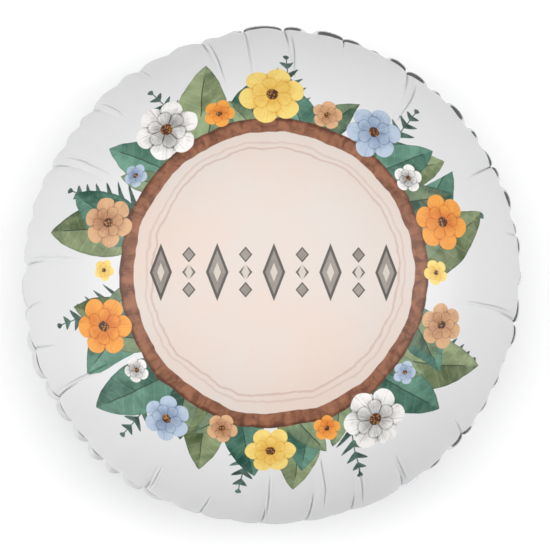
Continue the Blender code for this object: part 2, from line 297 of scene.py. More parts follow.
def film_row(azimuth, distance, front):
    slope = float(np.interp(distance, DISTANCE, SLOPE))
    drawn_in = pinch(azimuth, distance, front)
    drawn_in = drawn_in + ripple(azimuth, distance) * min(1, distance / RIPPLE_START)
    if front:
        drawn_in = drawn_in + fold_lines(azimuth, distance) * min(1, distance / LINE_EDGE_REACH)
    lift = seam_lift(azimuth) * SEAM_WAVE * math.exp(-((distance / SEAM_WAVE_REACH) ** 2))
    radius = float(np.interp(distance, DISTANCE, RADIUS)) - drawn_in * math.sin(slope)
    rise = float(np.interp(distance, DISTANCE, HEIGHT)) - drawn_in * math.cos(slope)
    if not front:
        rise = np.minimum(rise, seam_height)
    height = seam_height + lift + (rise if front else -rise)
    turned = azimuth + crease_turn(azimuth, distance, front)
    return np.stack([radius * np.cos(turned), radius * np.sin(turned), height], axis=1)


# the sealed band: folded back from the seam, as far as the back film leaves it room
NECK_FOLD = 76
BAND_FOLDS = (
    # azimuth, and how far the sealed band is folded back from level there, in degrees
    (20, 33), (75, 33), (97, 40), (108, 66), (150, 66), (180, 64), (196, 36), (204, 25), (230, 25),
    (240, 62), (252, NECK_FOLD), (296, NECK_FOLD), (304, 60), (311, 38), (345, 34),
)
BAND_TUCK_FOLD = 7
BAND_CREASE_FOLD = 44
BAND_HIDDEN_FOLD = 56
BAND_CLEARANCE = 0.0002
BAND_UNFOLD_STEP = 2
BAND_UNFOLD_TRIES = 36
BAND_SMOOTHED_OVER = range(-2, 3)


def band_fold(azimuth):
    base = from_table(azimuth, BAND_FOLDS)
    lift = np.clip(seam_lift(azimuth), -1, 1)
    down = np.minimum(base - BAND_TUCK_FOLD * lift, np.maximum(base, NECK_FOLD))
    level = np.where(base < BAND_HIDDEN_FOLD, np.minimum(base, BAND_CREASE_FOLD), base)
    fold = np.where(lift < 0, down, base + (level - base) * lift)
    root = seam_radius - pinch(azimuth, 0.0, False)
    for _ in range(BAND_UNFOLD_TRIES):
        caught = np.zeros(len(azimuth), bool)
        for out in (SEAM_WIDTH / 2, SEAM_WIDTH):
            drop = out * np.sin(np.radians(fold))
            film = np.interp(drop, DISTANCE, RADIUS) - pinch(azimuth, drop, False)
            caught |= root + out * np.cos(np.radians(fold)) < film + BAND_CLEARANCE
        fold = np.where(caught, fold - BAND_UNFOLD_STEP, fold)
    return np.radians(sum(np.roll(fold, move) for move in BAND_SMOOTHED_OVER) / len(BAND_SMOOTHED_OVER))


# columns: the strip's points round the edge, crowded together where a line or a tuck is sharp
COLUMN_SPACING = 0.00150
FINE_COLUMN_SPACING = 0.00030
FINE_BY_LINE = 0.0014
FINE_BY_TUCK = 0.0007
ROUND_STEPS = 40000
MIDDLE_COARSENESS = 4

fine_places = np.concatenate([line_azimuth, tuck_azimuth])
fine_widths = np.repeat([FINE_BY_LINE, FINE_BY_TUCK], [len(line_azimuth), len(tuck_azimuth)])
every = np.linspace(0, TURN, ROUND_STEPS + 1)
near = np.abs(apart(every[:, None], fine_places)) / (fine_widths / seam_radius)
fineness = np.exp(-(near**2)).max(axis=1)
crowding = 1 / COLUMN_SPACING + fineness * (1 / FINE_COLUMN_SPACING - 1 / COLUMN_SPACING)
counted = np.concatenate([[0.0], np.cumsum((crowding[1:] + crowding[:-1]) / 2)]) * seam_radius * every[1]
count = MIDDLE_COARSENESS * int(counted[-1] / MIDDLE_COARSENESS)
columns = np.interp(np.arange(count) / count * counted[-1], counted, every)
folds = band_fold(columns)
columns, folds = np.append(columns, columns[0] + TURN), np.append(folds, folds[0])


def band_row(out, side):
    run = SEAM_WIDTH * out
    radius = seam_radius - pinch(columns, 0.0, True) + run * np.cos(folds) + side * np.sin(folds)
    height = seam_height + seam_lift(columns) * SEAM_WAVE - run * np.sin(folds) + side * np.cos(folds)
    return np.stack([radius * np.cos(columns), radius * np.sin(columns), height], axis=1)


def shaped_grid(name, rows, flat_rows, map_name):
    bpy.ops.object.select_all(action="DESELECT")
    table, flat = np.stack(rows), np.stack(flat_rows)
    across, along = table.shape[1] - 1, table.shape[0] - 1
    bpy.ops.mesh.primitive_grid_add(x_subdivisions=across, y_subdivisions=along, size=2)
    grid = bpy.context.object
    grid.name = grid.data.name = name
    spots = np.empty(len(grid.data.vertices) * 3)
    grid.data.vertices.foreach_get("co", spots)
    spots = (spots.reshape(-1, 3) + 1) / 2
    column = np.rint(spots[:, 0] * across).astype(int)
    row = np.rint(spots[:, 1] * along).astype(int)
    grid.data.vertices.foreach_set("co", table[row, column].ravel())
    corners = np.empty(len(grid.data.loops), int)
    grid.data.loops.foreach_get("vertex_index", corners)
    grid.data.uv_layers[0].uv.foreach_set("vector", flat[row, column][corners].ravel())
    grid.data.uv_layers[0].name = map_name
    grid.data.update()
    return grid


def closed_up(grid, *others):
    for other in (grid, *others):
        other.select_set(True)
    bpy.context.view_layer.objects.active = grid
    if others:
        bpy.ops.object.join()
    bpy.ops.object.mode_set(mode="EDIT")
    bpy.ops.mesh.select_all(action="SELECT")
    bpy.ops.mesh.remove_doubles(threshold=MERGED_WITHIN)
    if others:
        bpy.ops.mesh.select_all(action="DESELECT")
        bpy.ops.mesh.select_mode(type="EDGE")
        bpy.ops.mesh.select_non_manifold()
        bpy.ops.mesh.bridge_edge_loops()
        bpy.ops.mesh.select_all(action="SELECT")
    bpy.ops.mesh.normals_make_consistent(inside=False)
    bpy.ops.object.mode_set(mode="OBJECT")
    bpy.ops.object.shade_smooth()
    return grid


# one foil: fine rows from the edge inwards, the sealed band, and coarser rows over the middle
EDGE_LENGTH = 0.085
EDGE_ROWS = 56
EDGE_CROWDING = 0.75
MIDDLE_ROWS = 30
BAND_OUTER_ROWS = 7
BAND_INNER_ROWS = 4
INNER_WALL_SHARE = 10
MIDDLE_PAST_BAND = 3
MERGED_WITHIN = 0.00001


def flat_row(distance, azimuth, front):
    reach, turned = film_length - distance, azimuth + crease_turn(azimuth, distance, front)
    return np.stack([reach * np.cos(turned), reach * np.sin(turned)], axis=1)


def flat_band_row(out):
    reach = film_length + SEAM_WIDTH * out
    return np.stack([reach * np.cos(columns), reach * np.sin(columns)], axis=1)


def foil(name, front):
    side = BAND_THICKNESS / 2 if front else -BAND_THICKNESS / 2
    inner_side = side / INNER_WALL_SHARE
    distances = EDGE_LENGTH * (1 - np.linspace(0, 1, EDGE_ROWS)[:-1] ** EDGE_CROWDING)
    rows = [film_row(columns, distance, front) for distance in distances]
    flat = [flat_row(distance, columns, front) for distance in distances]
    outwards, inwards = np.linspace(0, 1, BAND_OUTER_ROWS), np.linspace(1, 0, BAND_INNER_ROWS)
    for outs, wall in ((outwards, side), (inwards, inner_side)):
        rows += [band_row(out, wall) for out in outs]
        flat += [flat_band_row(out) for out in outs]
    rows.append(np.zeros((len(columns), 3)) + (0, 0, seam_height + inner_side))
    flat.append(flat_band_row(MIDDLE_PAST_BAND))
    outer = shaped_grid(name, rows, flat, "film")

    few = columns[::MIDDLE_COARSENESS]
    distances = EDGE_LENGTH + (film_length - EDGE_LENGTH) * np.linspace(0, 1, MIDDLE_ROWS)[1:]
    rows = [film_row(few, distance, front) for distance in distances]
    flat = [flat_row(distance, few, front) for distance in distances]
    return closed_up(outer, shaped_grid(name + "_middle", rows, flat, "film"))


front_film = foil("front_film", True)


# the print: what shader nodes reckon is an Amount, so that it can be added, taken away and so on
def ink(code):
    parts = [int(code[i:i + 2], 16) / 255 for i in (0, 2, 4)]
    return (*Color(parts).from_srgb_to_scene_linear(), 1.0)


class Amount:
    def __init__(self, socket):
        self.socket = socket
        self.sheet = socket.id_data

    def by(self, operation, *others):
        return reckon(self.sheet, operation, self, *others)

    def __add__(self, other):
        return self.by("ADD", other)

    def __radd__(self, other):
        return reckon(self.sheet, "ADD", other, self)

    def __sub__(self, other):
        return self.by("SUBTRACT", other)

    def __rsub__(self, other):
        return reckon(self.sheet, "SUBTRACT", other, self)

    def __mul__(self, other):
        return self.by("MULTIPLY", other)

    def __truediv__(self, other):
        return self.by("DIVIDE", other)

    def __pow__(self, other):
        return self.by("POWER", other)

    def __abs__(self):
        return self.by("ABSOLUTE")


def node(sheet, kind, given=(), **settings):
    made = sheet.nodes.new("ShaderNode" + kind)
    for name, value in settings.items():
        setattr(made, name, value)
    for key, value in dict(given).items():
        if isinstance(value, Amount):
            sheet.links.new(value.socket, made.inputs[key])
        else:
            made.inputs[key].default_value = value
    return made


def amount(sheet, kind, given=(), out=0, **settings):
    return Amount(node(sheet, kind, given, **settings).outputs[out])


def reckon(sheet, operation, *values):
    return amount(sheet, "Math", enumerate(values), operation=operation)


def shift(operation, place, *others):
    return amount(place.sheet, "VectorMath", enumerate((place, *others)), operation=operation)


def length_of(place):
    return amount(place.sheet, "VectorMath", {0: place}, "Value", operation="LENGTH")


def swung(place, angle):
    given = {"Vector": place, "Angle": angle}
    return amount(place.sheet, "VectorRotate", given, rotation_type="Z_AXIS")


def parts_of(place):
    return [Amount(part) for part in node(place.sheet, "SeparateXYZ", {0: place}).outputs]


def ramp(value, low, high, to_low=0.0, to_high=1.0):
    given = {"Value": value, "From Min": low, "From Max": high, "To Min": to_low, "To Max": to_high}
    return amount(value.sheet, "MapRange", given, interpolation_type="SMOOTHSTEP")


def paint(share, under, over):
    return amount(share.sheet, "Mix", {0: share, 6: under, 7: over}, 2, data_type="RGBA")


def mottle(place, scale, detail, roughness=0.5, out=0):
    given = {"Vector": place, "Scale": scale, "Detail": detail, "Roughness": roughness}
    return amount(place.sheet, "TexNoise", given, out)


def effect(name, takes, gives):
    sheet = bpy.data.node_groups.new(name, "ShaderNodeTree")
    for in_out, sockets in (("INPUT", takes), ("OUTPUT", gives)):
        for socket, kind in sockets.items():
            sheet.interface.new_socket(socket, in_out=in_out, socket_type="NodeSocket" + kind)
    entry, leave = sheet.nodes.new("NodeGroupInput"), sheet.nodes.new("NodeGroupOutput")

    def give(**results):
        for socket, result in results.items():
            sheet.links.new(result.socket, leave.inputs[socket])

    return sheet, {socket: Amount(entry.outputs[socket]) for socket in takes}, give


# ring of cells: what turns each motif to its own place round the wreath
RING_TAKES = {"Place": "Vector", "Count": "Float", "Turn": "Float", "Ring": "Float", "Seed": "Float"}
RING_GIVES = {"Place": "Vector", "Number": "Float", "Chance": "Vector"}
SEED_STEP = 71.3
ring_cells, takes, give = effect("ring_cells", RING_TAKES, RING_GIVES)
x, y, _ = parts_of(takes["Place"])
angle = y.by("ARCTAN2", x) / TURN
cell = ((angle + takes["Turn"]) * takes["Count"]).by("FLOOR")
middle = (cell + 0.5) / takes["Count"] - takes["Turn"]
number = cell.by("FLOORED_MODULO", takes["Count"])
given = {"W": takes["Seed"] * SEED_STEP + number}
dice = amount(ring_cells, "TexWhiteNoise", given, "Color", noise_dimensions="1D")
ring = amount(ring_cells, "CombineXYZ", {0: takes["Ring"]})
give(Place=shift("SUBTRACT", swung(takes["Place"], middle * -TURN), ring), Number=number, Chance=dice)


def in_ring(takes):
    given = {socket: takes[socket] for socket in RING_TAKES}
    group = node(takes["Place"].sheet, "Group", given, node_tree=ring_cells)
    return [Amount(group.outputs[socket]) for socket in RING_GIVES]


def motif_effect(name, **sizes):
    return effect(name, {"Under": "Color", **RING_TAKES, **sizes}, {"Color": "Color"})


# wash: the uneven pigment of watercolour
MIDDLE_TONES = (0.3, 0.7)
wash, takes, give = effect("wash", {"Place": "Vector", "Grain": "Float"}, {"Tone": "Float"})
given = {"Vector": takes["Place"], "Scale": takes["Grain"]}
given |= {"Detail": 5.0, "Roughness": 0.62, "Distortion": 0.6}
give(Tone=ramp(amount(wash, "TexNoise", given), *MIDDLE_TONES))


def tone(place, grain):
    return amount(place.sheet, "Group", {"Place": place, "Grain": grain}, node_tree=wash)


BRUSH_EDGE = 0.0005

# leaves: simple pointed leaves with a midrib, side veins and one dark half
LEAF_SIZES = (0.78, 1.12)
LEAF_BEND = 0.22
LEAF_FULLNESS = 2.45
LEAF_ROOT = 0.55
LEAF_TIP = 0.9
LEAF_HALVES = (0.30, 0.62)
SIDE_VEINS = 8.0
VEIN_SLANT = 0.16
VEIN_LINE = (0.42, 0.48)
VEIN_TONE = 0.16
LEAF_MOTTLE = 0.5
DARK_EDGE = (0.0018, 0.22)
MIDRIB = (0.00025, 0.0006)
MIDRIB_END = (0.80, 0.86)
MIDRIB_TONE = 0.8
BLADE_SIZES = {"Length": "Float", "Width": "Float", "Tilt": "Float"}
leaves, takes, give = motif_effect("leaves", **BLADE_SIZES, Light="Color", Dark="Color")
place, number, dice = in_ring(takes)
for_sway, for_size, for_tone = parts_of(dice)
sway = number.by("MODULO", 2.0) * 2.0 - 1.0 + (for_sway - 0.5)
x, y, _ = parts_of(swung(place, sway * takes["Tilt"]))
size = ramp(for_size, 0.0, 1.0, *LEAF_SIZES)
along = x / (takes["Length"] * size)
side = y / (takes["Width"] * size) + along * along * (sway * LEAF_BEND)
rest = (1.0 - along).by("MAXIMUM", 0.0)
breadth = along.by("MAXIMUM", 0.0) ** LEAF_ROOT * rest ** LEAF_TIP * LEAF_FULLNESS
off = abs(side)
edge = (breadth - off) * takes["Width"]
veins = ((along - off * VEIN_SLANT) * SIDE_VEINS).by("FRACT")
veins = ramp(abs(veins - 0.5), *VEIN_LINE)
shade = ramp(side, -0.05, 0.05, *LEAF_HALVES)
shade = shade + (tone(takes["Place"], 60.0) - 0.5) * LEAF_MOTTLE
shade = shade + veins * VEIN_TONE + (for_tone - 0.5) * LEAF_MOTTLE
shade = shade - ramp(edge, 0.0, *DARK_EDGE, 0.0)
blade = paint(amount(leaves, "Clamp", {0: shade}), takes["Dark"], takes["Light"])
rib = ramp(off * takes["Width"], *MIDRIB, 1.0, 0.0) * ramp(along, *MIDRIB_END, 1.0, 0.0)
blade = paint(rib * MIDRIB_TONE, blade, ink("23362a"))
give(Color=paint(ramp(edge, 0.0, BRUSH_EDGE), takes["Under"], blade))

# fronds: thin dark stems with slanting leaflets
LEAFLETS = 7.0
LEAFLET_SLANT = 1.6
LEAFLET_WIDTH = 0.34
LEAFLET_TAPER = 0.6
LEAFLET_END = (0.96, 0.99)
FROND_TAPER = 0.75
FROND_ROOT = (0.25, 0.3)
STEM = (0.0002, 0.0006)
STEM_END = (0.90, 0.97)
fronds, takes, give = motif_effect("fronds", **BLADE_SIZES)
place, _, dice = in_ring(takes)
for_lean, _, _ = parts_of(dice)
x, y, _ = parts_of(swung(place, (for_lean - 0.5) * takes["Tilt"]))
along = x / takes["Length"]
off = abs(y) / takes["Width"]
reach = (1.0 - along).by("MAXIMUM", 0.0) ** FROND_TAPER * ramp(along, 0.0, *FROND_ROOT, 1.0)
stripe = abs((along * LEAFLETS - off * LEAFLET_SLANT).by("FRACT") - 0.5)
taper = (1.0 - off / reach.by("MAXIMUM", 0.001)).by("MAXIMUM", 0.0) ** LEAFLET_TAPER
mask = ramp(taper * LEAFLET_WIDTH - stripe, 0.0, 0.07) * ramp(along, *LEAFLET_END, 1.0, 0.0)
stem = ramp(off * takes["Width"], *STEM, 1.0, 0.0) * ramp(along, *STEM_END, 1.0, 0.0)
green = paint(tone(takes["Place"], 110.0), ink("263d36"), ink("5c7a6c"))
give(Color=paint(mask.by("MAXIMUM", stem), takes["Under"], green))

# flowers: open flowers in two layers of petals, each of the next of five colours
FLOWER_SIZES = (0.8, 1.15)
OUTER_PETALS = (0.70, 0.30)
INNER_PETALS = (0.42, 0.20)
INNER_TURN = 0.6
PETAL_ROUNDNESS = 0.55
PETAL_GAP = 0.30
PETAL_STREAKS = 9.0
DARK_MIDDLE = (0.15, 0.95, 0.75)
DARK_MIDDLE_TONE = 0.8
GAP_TONE = 0.45
STREAK_TONE = 0.7
RING_SHADOW = (0.05, 0.35)
FLOWER_MOTTLE = 0.4
HEART = (0.17, 0.21)
flowers, takes, give = motif_effect("flowers", Size="Float", Petals="Float", Wander="Float")
place, number, dice = in_ring(takes)
for_angle, _, for_size = parts_of(dice)
drift = shift("SUBTRACT", dice, (0.5, 0.5, 0.5))
drift = amount(flowers, "VectorMath", {0: drift, "Scale": takes["Wander"]}, operation="SCALE")
place = shift("MULTIPLY", shift("SUBTRACT", place, drift), (1.0, 1.0, 0.0))
size = takes["Size"] * ramp(for_size, 0.0, 1.0, *FLOWER_SIZES)
far = length_of(place) / size
x, y, _ = parts_of(place)
angle = y.by("ARCTAN2", x) + for_angle * TURN


def petals_at(turn, near, depth):
    swing = abs(((angle + turn) * (takes["Petals"] / 2.0)).by("COSINE"))
    return ramp(swing, 0.0, PETAL_GAP, 1.0, 0.0), near + swing ** PETAL_ROUNDNESS * depth


def five_inks(value, codes):
    made = node(value.sheet, "ValToRGB", {0: value})
    made.color_ramp.interpolation = "CONSTANT"
    while len(made.color_ramp.elements) < len(codes):
        made.color_ramp.elements.new(1.0)
    for number, code in enumerate(codes):
        made.color_ramp.elements[number].position = number / len(codes)
        made.color_ramp.elements[number].color = ink(code)
    return Amount(made.outputs[0])


outer_gaps, outer_line = petals_at(0.0, *OUTER_PETALS)
inner_gaps, inner_line = petals_at(INNER_TURN, *INNER_PETALS)
second = inner_line - far
between = paint(ramp(second, 0.0, 0.03), outer_gaps, inner_gaps)
given = {"W": angle * PETAL_STREAKS, "Scale": 1.6, "Detail": 2.0}
streaks = amount(flowers, "TexNoise", given, noise_dimensions="1D")
shade = ramp(far, *DARK_MIDDLE, 0.0) * DARK_MIDDLE_TONE
shade = shade + between * GAP_TONE + (streaks - 0.5) * STREAK_TONE
shade = shade + ramp(abs(second), 0.0, *RING_SHADOW, 0.0)
shade = shade + (tone(takes["Place"], 90.0) - 0.5) * FLOWER_MOTTLE
shade = amount(flowers, "Clamp", {0: shade})
pick = ((number + (takes["Seed"] + 0.5)) / 5.0).by("FRACT")
light = five_inks(pick, ("f2a54a", "b9c8da", "f3d77c", "f4f1ee", "dcae84"))
dark = five_inks(pick, ("c4581c", "5f7597", "d99c2c", "4c4a4b", "8d5638"))
seeds = amount(flowers, "TexVoronoi", {"Vector": takes["Place"], "Scale": 700.0}, "Distance")
seeds = paint(ramp(seeds, 0.25, 0.5), ink("b98445"), ink("4d2c20"))
petals = paint(ramp(far, *HEART, 1.0, 0.0), paint(shade, light, dark), seeds)
mask = ramp((outer_line - far) * size, 0.0, BRUSH_EDGE)
give(Color=paint(mask, takes["Under"], petals))

# ornaments: a row of tall lozenges with small ones stacked between them
LOZENGE_PITCH = 0.0185
LOZENGES_EACH_SIDE = 4
TALL_LOZENGE = (0.0074, 0.019)
SMALL_LOZENGE = (0.0044, 0.0052)
SMALL_PITCH = 0.0115
STACK_HEIGHT = 0.0165
PAST_LINE = 5.0
LOZENGE_BORDER = (0.70, 0.80)
LOZENGE_HEART = (0.30, 0.36)
LOZENGE_EDGE = (0.97, 1.03)
ornaments, takes, give = effect("ornaments", {"Under": "Color", "Place": "Vector"}, {"Color": "Color"})
x, y, _ = parts_of(takes["Place"])
cell = (x / LOZENGE_PITCH).by("ROUND")
x = abs(x - cell * LOZENGE_PITCH)
tall = x / TALL_LOZENGE[0] + abs(y) / TALL_LOZENGE[1]
stack = abs(y - (y / SMALL_PITCH).by("ROUND") * SMALL_PITCH)
small = x / SMALL_LOZENGE[0] + stack / SMALL_LOZENGE[1]
small = small + ramp(abs(y), STACK_HEIGHT, STACK_HEIGHT + 0.0007, 0.0, PAST_LINE)
odd = abs(cell).by("MODULO", 2.0)
motif = (1.0 - odd) * tall + odd * small
motif = motif + ramp(abs(cell), LOZENGES_EACH_SIDE + 0.2, LOZENGES_EACH_SIDE + 0.4, 0.0, PAST_LINE)
fill = paint(tone(takes["Place"], 45.0), ink("7d746c"), ink("978e85"))
fill = paint(ramp(motif, *LOZENGE_BORDER), fill, ink("45403c"))
fill = paint(ramp(tall, *LOZENGE_HEART, 1.0, 0.0), fill, ink("c9bfb4"))
give(Color=paint(ramp(motif, *LOZENGE_EDGE, 1.0, 0.0), takes["Under"], fill))

# foil surface: the fine puckers of thin metallized film
WIDE_PUCKER_SCALE = 55.0
FINE_PUCKER_SCALE = 420.0
FINE_PUCKER_SHARE = 0.12
puckers, takes, give = effect("puckers", {"Place": "Vector"}, {"Height": "Float"})
wide = mottle(takes["Place"], WIDE_PUCKER_SCALE, 3.0)
give(Height=wide + mottle(takes["Place"], FINE_PUCKER_SCALE, 2.0) * FINE_PUCKER_SHARE)


def finish(name):
    made = bpy.data.materials.new(name)
    made.use_nodes = True
    return made, made.node_tree, made.node_tree.nodes["Principled BSDF"].inputs


def feed(socket, value):
    value.sheet.links.new(value.socket, socket)


def dent(shader, height, strength, distance):
    given = {"Height": height, "Strength": strength, "Distance": distance}
    feed(shader["Normal"], amount(height.sheet, "Bump", given))


# printed white film: the fronds and leaves, then the pale disc in its brown rim, then the flowers
PRINT_PAST_SEAM = 0.0034
PRINT_SHIFT_TOWARDS = 206
PRINT_END = 0.0002
HAND_WOBBLE = 0.0024
DISC_RADIUS = 0.0930
RIM_RADIUS = 0.1030
RIM_UNEVENNESS = 0.009
RIM_DARK_EDGE = (0.0035, 0.38)
DISC_LINES = ((0.0835, 0.55), (0.0875, 0.35))
DISC_LINE_WIDTHS = (0.0003, 0.0011)
DISC_LINE_WANDER = 0.004
# the heat-seal line on the band, painted dark as painted shade of the crevice where the front film bulges
# over the seam
SEAL_AND_SHADE_LINE_PAST_SEAM = 0.0011
SEAL_AND_SHADE_LINE_WIDTHS = (0.0002, 0.0006)
SEAL_AND_SHADE_LINE_STRENGTH = 0.90
SATIN, POLISHED = 0.44, 0.20
SILVER = (0.80, 0.81, 0.83, 1.0)
printed_film, sheet, shader = finish("printed_white_film")
film_map = amount(sheet, "UVMap", uv_map="film")
towards = math.radians(PRINT_SHIFT_TOWARDS)
place = (PRINT_PAST_SEAM * math.cos(towards), PRINT_PAST_SEAM * math.sin(towards), 0)
place = shift("SUBTRACT", film_map, place)
wobble = shift("SUBTRACT", mottle(place, 70.0, 2.0, out="Color"), (0.5, 0.5, 0.5))
hand = shift("MULTIPLY_ADD", wobble, (HAND_WOBBLE, HAND_WOBBLE, 0.0), place)


def layer(kind, colour, **given):
    words = {word.capitalize(): value for word, value in given.items()}
    return amount(sheet, "Group", {"Under": colour, "Place": hand, **words}, node_tree=kind)


WHITE_PRINT = ink("e2e2e3")
BLADE_WORDS = ("count", "turn", "ring", "seed", "length", "width", "tilt")
FROND_LAYER = (10.0, 0.02, 0.096, 1.0, 0.064, 0.021, 0.5)
LEAF_LAYERS = (
    # the same seven sizes, then the light and the dark green
    ((9.0, 0.05, 0.088, 2.0, 0.072, 0.019, 0.34), "a3b187", "3e5029"),
    ((12.0, 0.0, 0.090, 3.0, 0.063, 0.018, 0.45), "74a18d", "144638"),
    ((16.0, 0.013, 0.092, 4.0, 0.040, 0.0105, 0.45), "9aab82", "2c4c40"),
)
FLOWER_WORDS = ("count", "turn", "ring", "seed", "size", "petals", "wander")
FLOWER_LAYERS = (
    (10.0, 0.0, 0.119, 0.0, 0.0195, 6.0, 0.006),
    (10.0, 0.05, 0.111, 2.0, 0.0095, 5.0, 0.005),
)
colour = layer(fronds, WHITE_PRINT, **dict(zip(BLADE_WORDS, FROND_LAYER)))
for sizes, light, dark in LEAF_LAYERS:
    colour = layer(leaves, colour, **dict(zip(BLADE_WORDS, sizes)), light=ink(light), dark=ink(dark))
heading = shift("NORMALIZE", hand)
reach = length_of(hand) + (mottle(heading, 2.2, 3.0) - 0.5) * RIM_UNEVENNESS
bark = mottle(heading, 24.0, 5.0, 0.7) * 0.7 + tone(hand, 120.0) * 0.4
bark = bark - ramp(reach, RIM_RADIUS - RIM_DARK_EDGE[0], RIM_RADIUS, 0.0, RIM_DARK_EDGE[1])
rim = paint(ramp(bark, 0.15, 0.85), ink("5a3220"), ink("a06a4e"))
colour = paint(ramp(reach, RIM_RADIUS - BRUSH_EDGE, RIM_RADIUS, 1.0, 0.0), colour, rim)
blush = paint(tone(hand, 9.0), ink("d6cdc6"), ink("dcc8bd"))
line = reach + tone(hand, 12.0) * DISC_LINE_WANDER
for ring_at, strength in DISC_LINES:
    blush = paint(ramp(abs(line - ring_at), *DISC_LINE_WIDTHS, strength, 0.0), blush, ink("bd9c90"))
colour = paint(ramp(reach, DISC_RADIUS - BRUSH_EDGE, DISC_RADIUS, 1.0, 0.0), colour, blush)
for sizes in FLOWER_LAYERS:
    colour = layer(flowers, colour, **dict(zip(FLOWER_WORDS, sizes)))
colour = amount(sheet, "Group", {"Under": colour, "Place": place}, node_tree=ornaments)

print_end = film_length + PRINT_PAST_SEAM
bare = ramp(length_of(place), print_end, print_end + PRINT_END)
# painted shade: a dark line at the heat seal, standing in for the shade of the crevice at the seam
off_seal_and_shade_line = abs(length_of(film_map) - (film_length + SEAL_AND_SHADE_LINE_PAST_SEAM))
colour = paint(ramp(off_seal_and_shade_line, *SEAL_AND_SHADE_LINE_WIDTHS, SEAL_AND_SHADE_LINE_STRENGTH, 0.0), colour, ink("4c4a4a"))
feed(shader["Base Color"], paint(bare, colour, SILVER))
feed(shader["Metallic"], bare)
feed(shader["Roughness"], ramp(bare, 0.0, 1.0, SATIN, POLISHED))
body = amount(sheet, "TexCoord", out="Object")
dent(shader, amount(sheet, "Group", {"Place": body}, node_tree=puckers), strength=0.25, distance=0.0006)
front_film.data.materials.append(printed_film)
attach(front_film, "root")
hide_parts("front_foil")

# The back foil is the same film with its bright metal side out and no print. It carries the lower
# half of the sealed band, and a patch in its middle is pressed flat where the balloon rests.
back_film = foil("back_film", False)

SILVER_HAZE = (0.16, 0.26)
silver_film, sheet, shader = finish("silver_film")
shader["Base Color"].default_value = SILVER
shader["Metallic"].default_value = 1.0
body = amount(sheet, "TexCoord", out="Object")
dent(shader, amount(sheet, "Group", {"Place": body}, node_tree=puckers), strength=0.5, distance=0.0010)
feed(shader["Roughness"], ramp(mottle(body, 24.0, 4.0), *MIDDLE_TONES, *SILVER_HAZE))
back_film.data.materials.append(silver_film)
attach(back_film, "root")
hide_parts("back_foil")

# The filling neck is the two foils' own tabs, sealed along both sides into a flat sleeve. It is
# folded back against the back foil from the edge of the sealed band, and its mouth gapes a little.
NECK_ROOT_WIDTH = 0.0275
NECK_WIDTH = 0.027
NECK_END = 0.082
NECK_CLEARANCE = 0.0009
NECK_ROOT_HUG = 0.7
NECK_SETTLE = 0.008
NECK_SEAL = 0.0036
NECK_WALL = 0.00012
NECK_PUFF = 0.00030
NECK_PUFF_REACH = 0.015
NECK_PUFF_ROUNDNESS = 0.7
MOUTH_GAPE = 0.0011
MOUTH_DEPTH = 0.016
MOUTH_CLOSE = 0.001
THINNEST = 0.00002
SLEEVE_COLUMNS = 29
SLEEVE_CROWDING = 0.8
OUTER_SLEEVE_ROWS = 76
INNER_SLEEVE_ROWS = 16
SLEEVE_ROUND = 0.06
FLAT_ROW_STEP = 0.001
CRUMPLES = (
    # height in metres, waves a metre across and along the neck, and where in the noise it lies
    (0.00032, 160, 38, 3.0),
    (0.00020, 420, 160, 9.0),
)
NECK_GAP = 0.0002
NECK_FIRST_ROW = 0.0004
neck_start = SEAM_WIDTH * math.sin(math.radians(NECK_FOLD)) + NECK_GAP


def neck_place(distance, across, over):
    slope = float(np.interp(distance, DISTANCE, SLOPE))
    radius = float(np.interp(distance, DISTANCE, RADIUS))
    azimuth = neck_azimuth + across / radius
    free = NECK_CLEARANCE * (1 - NECK_ROOT_HUG * math.exp((neck_start - distance) / NECK_SETTLE))
    stand_off = free + over - pinch(azimuth, distance, False)
    radius = radius + stand_off * math.sin(slope)
    height = seam_height - float(np.interp(distance, DISTANCE, HEIGHT)) - stand_off * math.cos(slope)
    return np.stack([radius * np.cos(azimuth), radius * np.sin(azimuth), height], axis=1)


def there_and_back(half_row):
    over = np.ones(len(half_row))
    return np.concatenate([half_row, half_row[::-1]]), np.concatenate([over, -over])


def rolled_up(name, rows, way_round):
    rows = [np.concatenate([row, row[:1]]) for row in rows]
    way = np.linspace(0, way_round, len(rows[0]))
    starts = FLAT_ROW_STEP * np.arange(len(rows))
    unrolled = [np.stack([way, np.full(len(way), start)], axis=1) for start in starts]
    return closed_up(shaped_grid(name, rows, unrolled, "sleeve"))


def sleeve_row(distance, wall, closed):
    spread = (NECK_ROOT_WIDTH - NECK_WIDTH) * math.exp(-(distance - neck_start) / NECK_SETTLE)
    half = (NECK_WIDTH + spread) / 2
    tube = half - NECK_SEAL
    half_row = np.linspace(-1, 1, SLEEVE_COLUMNS)
    across, up = there_and_back(np.sign(half_row) * np.abs(half_row) ** SLEEVE_CROWDING)
    across = across * (half if wall == 0 else tube - wall)
    gape = MOUTH_GAPE * max(0.0, 1 - (NECK_END - distance) / MOUTH_DEPTH) ** 2
    settled = min(1, (distance - neck_start) / NECK_PUFF_REACH)
    puff = NECK_PUFF * settled * (1 - np.clip(np.abs(across) / tube, 0, 1) ** 2) ** NECK_PUFF_ROUNDNESS
    thick = NECK_WALL + puff + gape * np.clip(1 - (across / tube) ** 2, 0, 1) - wall
    thick = np.maximum(thick, THINNEST) * (0.0 if closed else 1.0)
    crumple = np.zeros(len(across))
    for height, wide, long, at in CRUMPLES:
        crumple += [height * noise.noise(Vector((a * wide, distance * long, at))) for a in across]
    return neck_place(distance, across, up * thick + crumple * settled)


